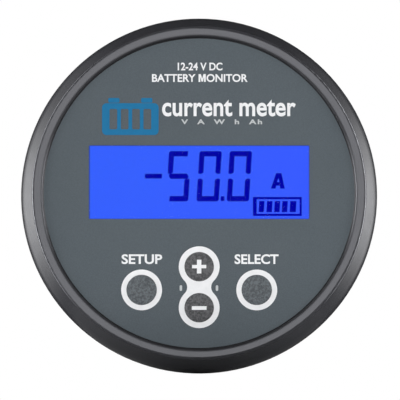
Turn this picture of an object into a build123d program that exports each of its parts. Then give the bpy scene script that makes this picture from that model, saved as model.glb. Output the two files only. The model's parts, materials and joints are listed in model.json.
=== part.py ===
from build123d import *
import os
from math import cos, sin, tan, radians

# Round flush-mount battery monitor head for a 52 mm panel hole, in mm.
# Frame: +X right, +Y to the rear of the panel, +Z up. The origin is on the axis, on the panel seat
# (the rear face of the flange). The display faces -Y.
# Points are (x, z) unless noted. Names ending in _y are depths along the axis.

os.makedirs("parts", exist_ok=True)


# ================================================================ helpers
def at(y):
    """Sketch plane at world Y, local x = X and local y = Z. A positive extrude runs to -Y."""
    return Plane.XZ.offset(-y)


def polar(r, angle):
    return (r * cos(radians(angle)), r * sin(radians(angle)))


def mid(limits):
    return (limits[0] + limits[1]) / 2


def span(limits):
    return limits[1] - limits[0]


def row(centre, pitch, count):
    """Evenly spaced values about a centre."""
    return [centre + pitch * (i - (count - 1) / 2) for i in range(count)]


def along_x(xs, level):
    return [(x, level) for x in xs]


def along_z(x, zs):
    return [(x, z) for z in zs]


def pair(x, z):
    """Two points mirrored about the middle."""
    return [(x, z), (-x, z)]


def thread_plane(helix):
    """Plane across the start of a helix: local x runs outwards, local y to the rear."""
    start = helix @ 0
    radial = Vector(start.X, 0, start.Z).normalized()
    return Plane(origin=start, x_dir=radial, z_dir=radial.cross(Vector(0, 1, 0)))


def save(part, name):
    part.label = name
    export_step(part, f"parts/{name}.step")


# ================================================================ shared dimensions
flange_r = 63.0 / 2
flange_t = 7.0           # seat to front land
seat_round = 0.35        # round at the flange's rear edge
rim_edge = 0.4           # straight edge of the rim next to the seat
rim_radius = 9.0         # arc that carries the side cone round to the straight edge
side_angle = 24.0        # slope of the side cone against the axis, degrees
edge_round = 0.6         # round between the front land and the side cone
recess_r = 27.6          # recess that takes the front film
recess_y = 0.6 - flange_t    # floor of the film recess
recess_round = 0.4       # round at the mouth of the film recess
wall_y = recess_y + 2.0  # rear of the front wall

barrel_r = 25.9          # plain shoulder and thread crest
shoulder_len = 1.5
thread_depth = 0.8
root_r = barrel_r - thread_depth
bore_r = 23.7
barrel_len = 22.0        # barrel behind the seat
thread_pitch = 3.0
thread_start = 3.9
thread_len = 16.5
keyway_w = 4.0
keyway_x = 27.12         # centre of the keyway cut

coring_inner_r, coring_outer_r, coring_depth = 26.9, 28.9, 3.6
groove_r, groove_depth = 30.1, 1.2    # gasket groove in the seat
rib_count, rib_w = 12, 1.0

film_t = 0.25
film_r = recess_r - 0.2
window_w, window_h = 39.0, 13.1
window_z = 1.92          # window centre above the axis
lens_w, lens_h = 41.2, 15.25
lens_rear_y = -4.8
lens_gap = 0.2           # total play of the lens in its seat

key_x, key_z = 10.15, -17.14         # outer keys
plus_z, minus_z = -13.03, -20.29     # centre keys
pad_r = 2.62                         # flexing key area
key_points = {
    "setup": (-key_x, key_z),
    "plus": (0.0, plus_z),
    "minus": (0.0, minus_z),
    "select": (key_x, key_z),
}
all_keys = list(key_points.values())

board_r = 23.4
display_front_y, display_rear_y = 3.0, 4.2         # display board
connector_front_y, connector_rear_y = 9.0, 10.6    # connector board
cover_front_y, cover_rear_y = barrel_len, barrel_len + 2.0

screw_r, screw_head_r = 1.0, 2.0
pilot_r = 1.08
board_screws = [polar(20.8, angle) for angle in (90.0, 220.0, 320.0)]
cover_screws = pair(10.8, 18.7)
boss_relief = pair(12.2, 21.1)    # widens the notches round the cover bosses out to the edge

# Rows of pins and contacts
lcd_pin_xs = row(0, 2.0, 19)
link_x = -20.4
link_pins = along_z(link_x, row(0, 2.0, 7))
serial_x, serial_z = 12.9, -1.0
serial_pins = along_z(serial_x, row(serial_z, 2.0, 4))
jack_z = -1.5
jack_xs = row(0, 1.02, 6)
plug_z = 13.8                      # contact row of the relay terminal
pole_xs = row(0, 3.5, 3)
pole_pins = along_x(pole_xs, plug_z)
relay_x, relay_z = -14.7, -1.8
relay_low_z, relay_high_z = -6.6, 3.2    # pin rows of the relay
relay_pin_dx = 2.5
contact_pins = along_x((relay_x - relay_pin_dx, relay_x + relay_pin_dx), relay_high_z)
coil_pins = along_x((relay_x - relay_pin_dx, relay_x + relay_pin_dx), relay_low_z)
coil_pins.append((relay_x, relay_high_z))
buzzer_z = -15.5

# ================================================================ housing
# One moulding: flange, front wall, threaded barrel, board bosses and rear cover bosses.
# The side of the flange is a cone from the front land, then an arc that meets the rim's edge square.
arc_start = (
    flange_r - rim_radius * (1 - cos(radians(side_angle))),
    -rim_edge - rim_radius * sin(radians(side_angle)),
)
front_r = arc_start[0] - (arc_start[1] + flange_t) * tan(radians(side_angle))
profile_rounds = (
    ((front_r, -flange_t, 0), edge_round),
    ((flange_r, 0, 0), seat_round),
    ((recess_r, -flange_t, 0), recess_round),
)
# Thread sections: (outwards from the helix, along the axis). The base sinks 0.25 into the wall.
barrel_thread = [(-0.25, -0.8), (thread_depth, -0.4), (thread_depth, 0.4), (-0.25, 0.8)]
nut_thread = [(0.25, -0.85), (-0.75, -0.4), (-0.75, 0.4), (0.25, 0.85)]

# Window cuts: rear start, width, height, corner round
window_cuts = (
    (lens_rear_y, lens_w + lens_gap, lens_h + lens_gap, 0.6),    # lens seat
    (-4.0, 39.9, 13.95, 0.4),                                    # clear opening
)
# Key cuts: rear start, radius, depth
key_cuts = (
    (-4.0, 2.35, 3.0),    # plunger guide
    (-5.9, 2.78, 1.0),    # counterbore for the film to flex into
)
board_boss_r, board_pilot_depth = 2.2, 6.2
cover_boss_r, cover_boss_front_y, cover_pilot_depth = 2.3, 11.5, 9.0
overrun = 0.5

with BuildPart() as front_housing:
    with BuildSketch(Plane.XY) as housing_profile:
        with BuildLine():
            Polyline(
                (0, recess_y), (recess_r, recess_y), (recess_r, -flange_t), (front_r, -flange_t),
                arc_start,
            )
            RadiusArc(arc_start, (flange_r, -rim_edge), -rim_radius)
            Polyline(
                (flange_r, -rim_edge), (flange_r, 0), (barrel_r, 0), (barrel_r, shoulder_len),
                (root_r, shoulder_len), (root_r, barrel_len), (bore_r, barrel_len),
                (bore_r, wall_y), (0, wall_y), (0, recess_y),
            )
        make_face()
        for corner, radius in profile_rounds:
            fillet(housing_profile.vertices().sort_by_distance(corner)[0], radius=radius)
    revolve(axis=Axis.Y)
    # gasket groove, with ribbed coring under it
    with BuildSketch(at(0)):
        Circle(groove_r)
        Circle(coring_inner_r, mode=Mode.SUBTRACT)
    extrude(amount=groove_depth, mode=Mode.SUBTRACT)
    with BuildSketch(at(-groove_depth)):
        Circle(coring_outer_r)
        Circle(coring_inner_r, mode=Mode.SUBTRACT)
    extrude(amount=coring_depth, mode=Mode.SUBTRACT)
    with BuildSketch(at(-groove_depth)):
        with PolarLocations((coring_inner_r + coring_outer_r) / 2, rib_count):
            Rectangle(coring_outer_r - coring_inner_r + 0.4, rib_w)
    extrude(amount=coring_depth + 0.05)
    # thread on the barrel
    with BuildLine():
        barrel_helix = Helix(
            pitch=thread_pitch, height=thread_len, radius=root_r,
            center=(0, thread_start, 0), direction=(0, 1, 0),
        )
    with BuildSketch(thread_plane(barrel_helix)):
        with BuildLine():
            Polyline(*barrel_thread, close=True)
        make_face()
    sweep(path=barrel_helix.edge(), is_frenet=True)
    # two keyways down the thread for the tabs of the clamp washer
    with BuildSketch(at(barrel_len + overrun)):
        with Locations(*pair(keyway_x, 0)):
            Rectangle(keyway_w, keyway_w)
    extrude(amount=barrel_len + overrun - shoulder_len, mode=Mode.SUBTRACT)
    for rear_y, width, height, radius in window_cuts:
        with BuildSketch(at(rear_y)):
            with Locations((0, window_z)):
                RectangleRounded(width, height, radius)
        extrude(amount=2.0, mode=Mode.SUBTRACT)
    for rear_y, radius, depth in key_cuts:
        with BuildSketch(at(rear_y)):
            with Locations(*all_keys):
                Circle(radius)
        extrude(amount=depth, mode=Mode.SUBTRACT)
    # board bosses on the front wall
    with BuildSketch(at(display_front_y)):
        with Locations(*board_screws):
            Circle(board_boss_r)
    extrude(amount=display_front_y - wall_y)
    with BuildSketch(at(display_front_y)):
        with Locations(*board_screws):
            Circle(pilot_r)
    extrude(amount=board_pilot_depth, mode=Mode.SUBTRACT)
    # rear cover bosses on the barrel wall
    with BuildSketch(at(barrel_len)):
        with Locations(*cover_screws):
            Circle(cover_boss_r)
        Circle(bore_r + 0.3, mode=Mode.INTERSECT)
    extrude(amount=barrel_len - cover_boss_front_y)
    with BuildSketch(at(barrel_len)):
        with Locations(*cover_screws):
            Circle(pilot_r)
    extrude(amount=cover_pilot_depth, mode=Mode.SUBTRACT)
    # slot for the tongue of the rear cover
    with BuildSketch(at(20.3)):
        with Locations((0, -23.9)):
            Rectangle(6.8, 1.0)
    extrude(amount=1.4, mode=Mode.SUBTRACT)
save(front_housing.part, "front_housing")

# ================================================================ front film, window and keys
pad_gap = 0.06
# Pad half section: (radius, y)
pad_section = [
    (0, recess_y - 0.05), (pad_r, recess_y - 0.05), (pad_r, recess_y - film_t),
    (pad_r - 0.3, recess_y - 0.4), (pad_r - 0.6, recess_y - 0.45), (0, recess_y - 0.45),
]
# Plunger steps: rear y, radius, length
plunger_steps = (
    (-4.3, 2.22, 2.15),    # front button
    (-3.7, 2.8, 0.6),      # retaining collar
    (-2.05, 1.35, 1.65),   # foot on the switch
)
plunger_chamfer = 0.15

with BuildPart() as front_overlay:
    with BuildSketch(at(recess_y)):
        Circle(film_r)
        with Locations((0, window_z)):
            RectangleRounded(window_w, window_h, 0.3, mode=Mode.SUBTRACT)
        with Locations(*all_keys):
            Circle(pad_r + pad_gap, mode=Mode.SUBTRACT)
    extrude(amount=film_t)
save(front_overlay.part, "front_overlay")

with BuildPart() as display_window:
    with BuildSketch(at(lens_rear_y)):
        with Locations((0, window_z)):
            RectangleRounded(lens_w, lens_h, 0.5)
    extrude(amount=1.6)
save(display_window.part, "display_window")

# The four flexing areas of the film, each a shallow pillow over its plunger.
for key, (x, z) in key_points.items():
    with BuildPart() as key_pad:
        with BuildSketch(Plane((x, 0, z))):
            with BuildLine():
                Polyline(*pad_section, close=True)
            make_face()
        revolve(axis=Axis((x, 0, z), (0, 1, 0)))
    save(key_pad.part, f"{key}_key_pad")

# Plungers that carry the press from the film to the switches.
for key, point in key_points.items():
    with BuildPart() as key_plunger:
        for rear_y, radius, length in plunger_steps:
            with BuildSketch(at(rear_y)):
                with Locations(point):
                    Circle(radius)
            extrude(amount=length)
        chamfer(
            key_plunger.edges().filter_by(GeomType.CIRCLE).sort_by(Axis.Y)[0],
            length=plunger_chamfer,
        )
    save(key_plunger.part, f"{key}_plunger")

# ================================================================ key switches
switch_w, switch_h, switch_round = 4.4, 3.4, 0.35
switch_front_y = display_front_y - switch_h
switch_angles = (14.0, 0.0, 0.0, -14.0)    # turn of each switch, in the order of the keys
switch_places = [Location(point, angle) for point, angle in zip(all_keys, switch_angles)]
switch_legs = [(2.5, 1.45), (2.5, -1.45), (-2.5, 1.45), (-2.5, -1.45)]
leg_w, leg_h, leg_t = 0.55, 0.7, 0.3
plate_t = 0.2
stem_r, stem_rear_y, stem_len = 1.2, 1.2, 3.2

with BuildPart() as switch_bodies:
    for place in switch_places:
        with BuildSketch(at(display_front_y)):
            with Locations(place):
                RectangleRounded(switch_w, switch_w, switch_round)
        extrude(amount=switch_h)
    with BuildSketch(at(1.75)):
        with Locations(*all_keys):
            Circle(stem_r + 0.08)
    extrude(amount=3.0, mode=Mode.SUBTRACT)
save(switch_bodies.part, "switch_bodies")

# Metal cover plates, and four solder legs a switch.
with BuildPart() as switch_metalwork:
    for place in switch_places:
        with BuildSketch(at(switch_front_y)):
            with Locations(place):
                RectangleRounded(switch_w, switch_w, switch_round)
                Circle(stem_r + 0.12, mode=Mode.SUBTRACT)
        extrude(amount=plate_t)
        with BuildSketch(at(display_front_y)):
            with Locations(place):
                with Locations(*switch_legs):
                    Rectangle(leg_w, leg_h)
        extrude(amount=leg_t)
save(switch_metalwork.part, "switch_metalwork")

for key, point in key_points.items():
    with BuildPart() as switch_stem:
        with BuildSketch(at(stem_rear_y)):
            with Locations(point):
                Circle(stem_r)
        extrude(amount=stem_len)
        chamfer(switch_stem.edges().filter_by(GeomType.CIRCLE).sort_by(Axis.Y)[0], length=0.15)
    save(switch_stem.part, f"{key}_switch_stem")

# ================================================================ display module
glass_w, glass_t = 41.8, 1.1
front_glass_z = (-7.0, 9.6)     # bottom and top edges
rear_glass_z = (-8.2, 10.8)
lcd_z = 1.4                     # centre of the backlight and holder
pin_w = 0.44
pin_front_y, pin_inner_y = -3.22, -2.98    # front and rear faces of the clip arm
pin_end_y = display_rear_y + 0.6
# Clip pins of the upper and lower rows: z of the clip tip, outer face and inner face
pin_rows = ((9.85, 11.3, 11.0), (-7.25, -8.7, -8.4))
pin_row_zs = [mid(faces) for _, *faces in pin_rows]
guide_rear_y, guide_h = 0.76, 16.4
holder_w, holder_h, holder_r = 44.8, 22.6, 23.35
holder_feet = [(20.2, 8.4), (-20.2, 8.4), (20.0, -8.3), (-20.0, -8.3)]

with BuildPart() as lcd_front_polariser:
    with BuildSketch(at(-4.12)):
        with Locations((0, mid(front_glass_z))):
            Rectangle(glass_w - 1.2, span(front_glass_z) - 1.0)
    extrude(amount=0.2)
save(lcd_front_polariser.part, "lcd_front_polariser")

for name, rear_y, glass_z in (
    ("lcd_front_glass", -3.02, front_glass_z),
    ("lcd_rear_glass", -1.86, rear_glass_z),
):
    with BuildPart() as glass:
        with BuildSketch(at(rear_y)):
            with Locations((0, mid(glass_z))):
                Rectangle(glass_w, span(glass_z))
        extrude(amount=glass_t)
        chamfer(glass.edges().filter_by(Axis.Y), length=0.3)
    save(glass.part, name)

# Clip pins on both ledges of the rear glass, through the display board; section in (y, z).
with BuildPart() as lcd_pins:
    with BuildSketch(*[Plane.YZ.offset(x - pin_w / 2) for x in lcd_pin_xs]):
        for tip_z, outer_z, inner_z in pin_rows:
            with BuildLine():
                Polyline(
                    (pin_front_y, tip_z), (pin_front_y, outer_z), (pin_end_y, outer_z),
                    (pin_end_y, inner_z), (pin_inner_y, inner_z), (pin_inner_y, tip_z),
                    close=True,
                )
            make_face()
    extrude(amount=pin_w)
save(lcd_pins.part, "lcd_pins")

with BuildPart() as backlight_diffuser:
    with BuildSketch(at(-1.28)):
        with Locations((0, lcd_z)):
            Rectangle(40.2, guide_h)
    extrude(amount=0.3)
save(backlight_diffuser.part, "backlight_diffuser")

# Light guide with a grid of shallow dots in its rear face.
with BuildPart() as backlight_light_guide:
    with BuildSketch(at(guide_rear_y)):
        with Locations((0, lcd_z)):
            Rectangle(39.8, guide_h)
    extrude(amount=1.9)
    with BuildSketch(at(guide_rear_y)):
        with GridLocations(3.0, 2.6, 12, 6):
            Circle(0.35)
    extrude(amount=0.25, mode=Mode.SUBTRACT)
save(backlight_light_guide.part, "backlight_light_guide")

with BuildPart() as backlight_leds:
    with BuildSketch(at(0.5)):
        with Locations(*along_z(20.45, row(lcd_z, 4.4, 3))):
            Rectangle(0.8, 2.2)
    extrude(amount=1.2)
save(backlight_leds.part, "backlight_leds")

# Holder: frame round the glass, slotted back plate and four feet on the display board.
with BuildPart() as lcd_holder:
    with BuildSketch(at(0.9)):
        with Locations((0, lcd_z)):
            Rectangle(holder_w, holder_h)
        Circle(holder_r, mode=Mode.INTERSECT)
        with Locations((0, lcd_z)):
            Rectangle(42.1, 20.4, mode=Mode.SUBTRACT)
    extrude(amount=5.2)
    with BuildSketch(at(1.9)):
        with Locations((0, lcd_z)):
            Rectangle(holder_w, holder_h)
        Circle(holder_r, mode=Mode.INTERSECT)
        with Locations(*along_z(0, pin_row_zs)):
            Rectangle(38.6, 0.9, mode=Mode.SUBTRACT)
        with Locations(*pair(-10, lcd_z)):
            Rectangle(15.0, 10.0, mode=Mode.SUBTRACT)
    extrude(amount=1.0)
    with BuildSketch(at(display_front_y)):
        with Locations(*holder_feet):
            Rectangle(2.0, 2.0)
    extrude(amount=1.2)
save(lcd_holder.part, "lcd_holder")

# ================================================================ boards
# Holes are (radius, points).
shared_holes = [(2.7, cover_screws), (2.7, boss_relief), (1.2, board_screws)]
display_holes = [(0.38, [(x, z) for x in lcd_pin_xs for z in pin_row_zs]), (0.4, link_pins)]
connector_holes = [
    (0.4, link_pins),
    (0.45, serial_pins),
    (0.7, pole_pins),
    (0.35, along_x(jack_xs, 4.65)),
    (0.45, coil_pins + contact_pins),
]


def save_board(name, front_y, rear_y, holes):
    with BuildPart() as board:
        with BuildSketch(at(rear_y)):
            Circle(board_r)
            for radius, points in shared_holes + holes:
                with Locations(*points):
                    Circle(radius, mode=Mode.SUBTRACT)
        extrude(amount=rear_y - front_y)
    save(board.part, name)


save_board("display_board", display_front_y, display_rear_y, display_holes)
save_board("connector_board", connector_front_y, connector_rear_y, connector_holes)

# Row of pins in a plastic bar that links the two boards.
link_bar_t = 2.4
link_pin_front_y, link_pin_rear_y = 2.4, 11.4
with BuildPart() as board_link_bar:
    with BuildSketch(at(display_rear_y + link_bar_t)):
        with Locations((link_x, 0)):
            Rectangle(2.0, 14.0)
        with Locations(*link_pins):
            Rectangle(0.5, 0.5, mode=Mode.SUBTRACT)
    extrude(amount=link_bar_t)
save(board_link_bar.part, "board_link_bar")

with BuildPart() as board_link_pins:
    with BuildSketch(at(link_pin_rear_y)):
        with Locations(*link_pins):
            Rectangle(0.48, 0.48)
    extrude(amount=link_pin_rear_y - link_pin_front_y)
save(board_link_pins.part, "board_link_pins")

with BuildPart() as board_spacers:
    with BuildSketch(at(connector_front_y)):
        with Locations(*board_screws):
            RegularPolygon(2.1, 6)
            Circle(1.2, mode=Mode.SUBTRACT)
    extrude(amount=connector_front_y - display_rear_y)
save(board_spacers.part, "board_spacers")


def save_screws(name, points, seat_y, length, head_h, head_round, cross_cut):
    """Cross-recessed screws, heads to the rear; the cross is cut from 0.1 behind the heads."""
    with BuildPart() as screws:
        with BuildSketch(at(seat_y)):
            with Locations(*points):
                Circle(screw_r)
        extrude(amount=length)
        with BuildSketch(at(seat_y + head_h)):
            with Locations(*points):
                Circle(screw_head_r)
        extrude(amount=head_h)
        fillet(
            screws.edges().filter_by(GeomType.CIRCLE).group_by(Axis.Y)[-1], radius=head_round
        )
        with BuildSketch(at(seat_y + head_h + 0.1)):
            with Locations(*points):
                Rectangle(2.2, 0.5)
                Rectangle(0.5, 2.2)
        extrude(amount=cross_cut, mode=Mode.SUBTRACT)
    save(screws.part, name)


save_screws(
    "board_screws", board_screws, seat_y=connector_rear_y, length=13.0,
    head_h=1.4, head_round=0.5, cross_cut=0.9,
)

# Processor on the rear of the display board: body, and flat pins on four sides.
chip_x, chip_z = 4.5, 0.5
chip_w, chip_t = 7.0, 1.35
chip_pin_t, chip_pin_w, chip_pin_len, chip_pin_pitch = 0.15, 0.35, 1.0, 0.8
chip_pin_offset = 4.05
chip_front_y = display_rear_y + chip_pin_t
chip_rear_y = chip_front_y + chip_t
with BuildPart() as microcontroller:
    with BuildSketch(at(chip_rear_y)):
        with Locations((chip_x, chip_z)):
            Rectangle(chip_w, chip_w)
    extrude(amount=chip_t)
    chamfer(microcontroller.edges().group_by(Axis.Y)[-1], length=0.2)
    # round mark in one corner
    with BuildSketch(at(chip_rear_y + 0.1)):
        with Locations((chip_x - 2.5, chip_z + 2.5)):
            Circle(0.4)
    extrude(amount=0.2, mode=Mode.SUBTRACT)
save(microcontroller.part, "microcontroller")

with BuildPart() as microcontroller_pins:
    with BuildSketch(at(chip_front_y)):
        with Locations((chip_x, chip_z)):
            with Locations((chip_pin_offset, 0), (-chip_pin_offset, 0)):
                with GridLocations(1.0, chip_pin_pitch, 1, 8):
                    Rectangle(chip_pin_len, chip_pin_w)
            with Locations((0, chip_pin_offset), (0, -chip_pin_offset)):
                with GridLocations(chip_pin_pitch, 1.0, 8, 1):
                    Rectangle(chip_pin_w, chip_pin_len)
    extrude(amount=chip_pin_t)
save(microcontroller_pins.part, "microcontroller_pins")

# Chip resistors and capacitors on the facing sides of the two boards.
chip_part_l, chip_part_w, chip_part_t = 2.0, 1.25, 0.8
display_flat_parts = [(x, z) for x in (-6, -9.5, 12) for z in (4, 1, -2)]
display_upright_parts = along_x((4, 7, -4, -7), -11.6)
connector_parts = [
    (9, 9), (12, 9), (15, 9), (-9, 10), (-12, 10), (9, -10), (12, -10), (-6, -14), (-9, -14),
]
with BuildPart() as chip_parts:
    with BuildSketch(at(display_rear_y + chip_part_t)):
        with Locations(*display_flat_parts):
            Rectangle(chip_part_l, chip_part_w)
        with Locations(*display_upright_parts):
            Rectangle(chip_part_w, chip_part_l)
    extrude(amount=chip_part_t)
    with BuildSketch(at(connector_front_y)):
        with Locations(*connector_parts):
            Rectangle(chip_part_w, chip_part_l)
    extrude(amount=chip_part_t)
save(chip_parts.part, "chip_parts")

# ================================================================ data jack, six contacts
jack_w, jack_h = 13.2, 13.4
jack_rear_y = 23.4
jack_slot_y = jack_rear_y - 0.7
# Mouth of the jack in three steps: centre z, width, height
jack_mouth = ((0.4, 9.8, 6.8), (-4.2, 6.2, 2.6), (-5.9, 3.4, 1.2))
jack_contact_w = 0.4
# Sprung contact, folded back at the rear: (y, z)
jack_contact = [
    (7.9, 4.5), (7.9, 4.8), (22.3, 4.8), (22.55, 4.55), (22.3, 4.2), (14.2, 1.5),
    (14.1, 1.8), (21.6, 4.3), (21.75, 4.5),
]

with BuildPart() as data_jack_housing:
    with BuildSketch(at(jack_rear_y)):
        with Locations((0, jack_z)):
            RectangleRounded(jack_w, jack_h, 0.5)
    extrude(amount=jack_rear_y - connector_rear_y)
    with BuildSketch(at(jack_rear_y)):
        for z, width, height in jack_mouth:
            with Locations((0, z)):
                Rectangle(width, height)
    extrude(amount=11.2, mode=Mode.SUBTRACT)
    with BuildSketch(at(jack_slot_y)):
        with Locations(*along_x(jack_xs, 4.2)):
            Rectangle(0.62, 1.5)
    extrude(amount=jack_slot_y - connector_rear_y, mode=Mode.SUBTRACT)
    chamfer(
        data_jack_housing.edges().group_by(Axis.Y)[-1].filter_by(GeomType.LINE), length=0.2
    )
save(data_jack_housing.part, "data_jack_housing")

with BuildPart() as data_jack_contacts:
    with BuildSketch(*[Plane.YZ.offset(x - jack_contact_w / 2) for x in jack_xs]):
        with BuildLine():
            Polyline(*jack_contact, close=True)
        make_face()
    extrude(amount=jack_contact_w)
save(data_jack_contacts.part, "data_jack_contacts")

# ================================================================ serial socket, four pins
socket_w, socket_h, socket_wall = 4.6, 10.0, 0.6
socket_rear_y = 18.6
with BuildPart() as serial_socket:
    with BuildSketch(at(socket_rear_y)):
        with Locations((serial_x, serial_z)):
            RectangleRounded(socket_w, socket_h, 0.25)
    extrude(amount=socket_rear_y - connector_rear_y)
    # cavity, with two slots through the -X wall
    with BuildSketch(at(socket_rear_y)):
        with Locations((serial_x, serial_z)):
            Rectangle(socket_w - 2 * socket_wall, socket_h - 2 * socket_wall)
        with Locations(*along_z(serial_x - 2.1, (serial_z + 2.4, serial_z - 2.4))):
            Rectangle(1.2, 0.9)
    extrude(amount=6.6, mode=Mode.SUBTRACT)
    with BuildSketch(at(12.5)):
        with Locations(*serial_pins):
            Rectangle(0.54, 0.54)
    extrude(amount=2.5, mode=Mode.SUBTRACT)
save(serial_socket.part, "serial_socket")

# ================================================================ relay output terminal
header_rear_y, header_floor_y = 17.5, 12.0
with BuildPart() as relay_header:
    with BuildSketch(at(header_rear_y)):
        with Locations((0, plug_z)):
            Rectangle(12.8, 7.2)
            Rectangle(11.2, 5.4, mode=Mode.SUBTRACT)
    extrude(amount=header_rear_y - connector_rear_y)
    with BuildSketch(at(header_floor_y)):
        with Locations((0, plug_z)):
            Rectangle(12.0, 6.4)
        with Locations(*pole_pins):
            Rectangle(0.84, 0.84, mode=Mode.SUBTRACT)
    extrude(amount=header_floor_y - connector_rear_y)
    # notches in the upper wall for the ribs of the plug
    with BuildSketch(at(header_rear_y + 0.1)):
        with Locations(*along_x(pole_xs, plug_z + 3.2)):
            Rectangle(1.4, 1.4)
    extrude(amount=4.0, mode=Mode.SUBTRACT)
save(relay_header.part, "relay_header")

# Square pins soldered to the connector board: rear y, width, points
pin_sets = ((16.5, 0.8, pole_pins), (17.2, 0.5, serial_pins))
connector_pin_front_y = 7.8
with BuildPart() as connector_pins:
    for rear_y, width, points in pin_sets:
        with BuildSketch(at(rear_y)):
            with Locations(*points):
                Rectangle(width, width)
        extrude(amount=rear_y - connector_pin_front_y)
save(connector_pins.part, "connector_pins")

plug_w, plug_h, plug_body_z = 11.6, 8.8, 14.2
clamp_y = 20.4    # axis of the clamp screws, which stand along Z
clamp_centres = along_x(pole_xs, clamp_y)    # (x, y)
with BuildPart() as relay_plug:
    with BuildSketch(at(cover_rear_y)):
        with Locations((0, plug_body_z)):
            RectangleRounded(plug_w, plug_h, 0.4)
    extrude(amount=cover_rear_y - 17.7)
    # nose, with a rib over each pole
    with BuildSketch(at(17.8)):
        with Locations((0, plug_z)):
            Rectangle(10.9, 5.1)
    extrude(amount=17.8 - 12.3)
    with BuildSketch(at(17.75)):
        with Locations(*along_x(pole_xs, plug_z + 2.7)):
            Rectangle(1.0, 1.2)
    extrude(amount=3.95)
    # sleeve bores in the nose
    with BuildSketch(at(18.4)):
        with Locations(*pole_pins):
            Rectangle(2.1, 2.1)
    extrude(amount=8.0, mode=Mode.SUBTRACT)
    # clamp pockets
    with BuildSketch(at(22.7)):
        with Locations(*along_x(pole_xs, 13.35)):
            Rectangle(3.0, 5.5)
    extrude(amount=4.5, mode=Mode.SUBTRACT)
    # wire entries in the rear face
    with BuildSketch(at(cover_rear_y + overrun)):
        with Locations(*along_x(pole_xs, 12.35)):
            RectangleRounded(2.6, 2.4, 0.3)
    extrude(amount=2.5, mode=Mode.SUBTRACT)
    # stepped screw wells from the top: bottom z, radius, height
    for bottom_z, radius, height in ((15.5, 1.1, 4.0), (16.95, 1.5, 3.0)):
        with BuildSketch(Plane.XY.offset(bottom_z)):
            with Locations(*clamp_centres):
                Circle(radius)
        extrude(amount=height, mode=Mode.SUBTRACT)
save(relay_plug.part, "relay_plug")

with BuildPart() as relay_plug_contacts:
    # sleeves on the header pins, then the strips behind them
    with BuildSketch(at(18.0)):
        with Locations(*pole_pins):
            Rectangle(1.9, 1.9)
            Rectangle(1.0, 1.0, mode=Mode.SUBTRACT)
    extrude(amount=5.2)
    with BuildSketch(at(22.4)):
        with Locations(*along_x(pole_xs, 13.2)):
            Rectangle(1.7, 0.55)
    extrude(amount=4.4)
save(relay_plug_contacts.part, "relay_plug_contacts")

# One screw and one rising clamp a pole. The screw is held in the plug; turning it lifts the clamp.
clamp_screw_steps = ((13.75, 0.95, 3.4), (17.0, 1.38, 1.25))    # bottom z, radius, height
for pole, x in zip(("no", "com", "nc"), pole_xs):
    with BuildPart() as clamp_screw:
        for bottom_z, radius, height in clamp_screw_steps:
            with BuildSketch(Plane.XY.offset(bottom_z)):
                with Locations((x, clamp_y)):
                    Circle(radius)
            extrude(amount=height)
        # driver slot
        with BuildSketch(Plane.XY.offset(18.3)):
            with Locations((x, clamp_y)):
                Rectangle(2.9, 0.42)
        extrude(amount=-0.65, mode=Mode.SUBTRACT)
    save(clamp_screw.part, f"clamp_screw_{pole}")

    with BuildPart() as wire_clamp:
        with BuildSketch(at(22.3)):
            with Locations((x, 12.8)):
                Rectangle(2.8, 4.0)
            with Locations((x, 12.45)):
                Rectangle(2.0, 2.3, mode=Mode.SUBTRACT)
        extrude(amount=3.8)
        with BuildSketch(Plane.XY.offset(13.0)):
            with Locations((x, clamp_y)):
                Circle(1.0)
        extrude(amount=2.5, mode=Mode.SUBTRACT)
    save(wire_clamp.part, f"wire_clamp_{pole}")

# ================================================================ alarm relay
# Base with five pins, open coil and yoke, hinged armature with its contact blade, dust cover.
core_y = 15.2                  # axis of the coil, which lies along Z
core_centre = (relay_x, core_y)    # (x, y)
core_bore_r = 0.95
bobbin_bottom_z = -6.3
relay_base_y = 12.0            # rear face of the base
relay_cover_y = 20.2
relay_pin_w = 0.5
yoke_w, yoke_t = 3.6, 0.8
armature_z, armature_w = 2.35, 3.4
armature_hinge = (12.5, armature_z)    # (y, z)
contact_rear_y = 19.0
inner_contact_z, outer_contact_z = 1.85, 3.3
strip_t = 0.3

with BuildPart() as relay_base:
    with BuildSketch(at(relay_base_y)):
        with Locations((relay_x, relay_z)):
            Rectangle(7.6, 12.4)
        with Locations(*coil_pins, *contact_pins):
            Rectangle(0.54, 0.54, mode=Mode.SUBTRACT)
    extrude(amount=relay_base_y - connector_rear_y)
    # bobbin on two forked cheeks that straddle the yoke
    with BuildSketch(Plane.XY.offset(bobbin_bottom_z)):
        with Locations(core_centre):
            Circle(1.3)
            Circle(core_bore_r, mode=Mode.SUBTRACT)
    extrude(amount=7.6)
    with BuildSketch(Plane.XY.offset(bobbin_bottom_z), Plane.XY.offset(0.7)):
        with Locations(core_centre):
            Circle(2.1)
        with Locations((relay_x - 2.1, 13.5), (relay_x + 2.1, 13.5)):
            Rectangle(0.42, 3.4)
        with Locations(core_centre):
            Circle(core_bore_r, mode=Mode.SUBTRACT)
    extrude(amount=0.6)
save(relay_base.part, "relay_base")

with BuildPart() as relay_cover:
    with BuildSketch(at(relay_cover_y)):
        with Locations((relay_x, relay_z)):
            RectangleRounded(8.8, 13.6, 0.5)
    extrude(amount=relay_cover_y - connector_rear_y - 0.1)
    fillet(relay_cover.edges().group_by(Axis.Y)[-1], radius=0.4)
    with BuildSketch(at(relay_cover_y - 0.6)):
        with Locations((relay_x, relay_z)):
            Rectangle(7.7, 12.5)
    extrude(amount=9.5, mode=Mode.SUBTRACT)
save(relay_cover.part, "relay_cover")

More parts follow.
